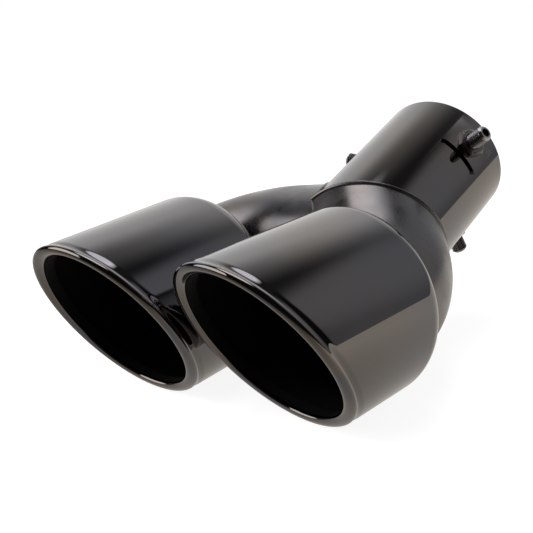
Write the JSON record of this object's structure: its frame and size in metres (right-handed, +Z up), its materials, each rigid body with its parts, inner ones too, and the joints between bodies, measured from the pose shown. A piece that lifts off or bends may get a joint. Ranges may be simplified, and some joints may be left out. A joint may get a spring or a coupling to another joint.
{
  "type": "exhaust tip",
  "caption": "Twin-outlet exhaust tip with a clamp-on inlet sleeve, an elbow, a side branch and slant-cut outlets with rolled edges.",
  "frame": {"origin": "centre of the inlet mouth's plane, on the inlet sleeve's axis", "axes": "+Y away from the outlets, along the outlets' line of flow and against it; +Z up; +X to the right seen from the outlets"},
  "size_m": [0.1814, 0.2155, 0.114],
  "materials": {
    "black_chrome": "mirror-polished black chrome",
    "black_steel": "black oxide, semi-gloss"
  },
  "bodies": {
    "tip": {"inlet_sleeve": "black_chrome", "right_elbow": "black_chrome", "left_branch": "black_chrome", "right_barrel": "black_chrome", "left_barrel": "black_chrome", "front_nut": "black_steel", "lower_nut": "black_steel", "left_nut": "black_steel"},
    "front_clamp_screw": {"front_screw": "black_steel"},
    "lower_clamp_screw": {"lower_screw": "black_steel"},
    "left_clamp_screw": {"left_screw": "black_steel"}
  },
  "joints": [
    {"name": "front_screw_travel", "type": "slide", "parent": "tip", "child": "front_clamp_screw", "axis": [-0.8442, 0.1269, -0.5208], "range_m": [-0.003, 0.005]},
    {"name": "lower_screw_travel", "type": "slide", "parent": "tip", "child": "lower_clamp_screw", "axis": [-0.1882, -0.2939, 0.9371], "range_m": [-0.003, 0.005]},
    {"name": "left_screw_travel", "type": "slide", "parent": "tip", "child": "left_clamp_screw", "axis": [0.9821, 0.0885, -0.1661], "range_m": [-0.003, 0.005]}
  ]
}
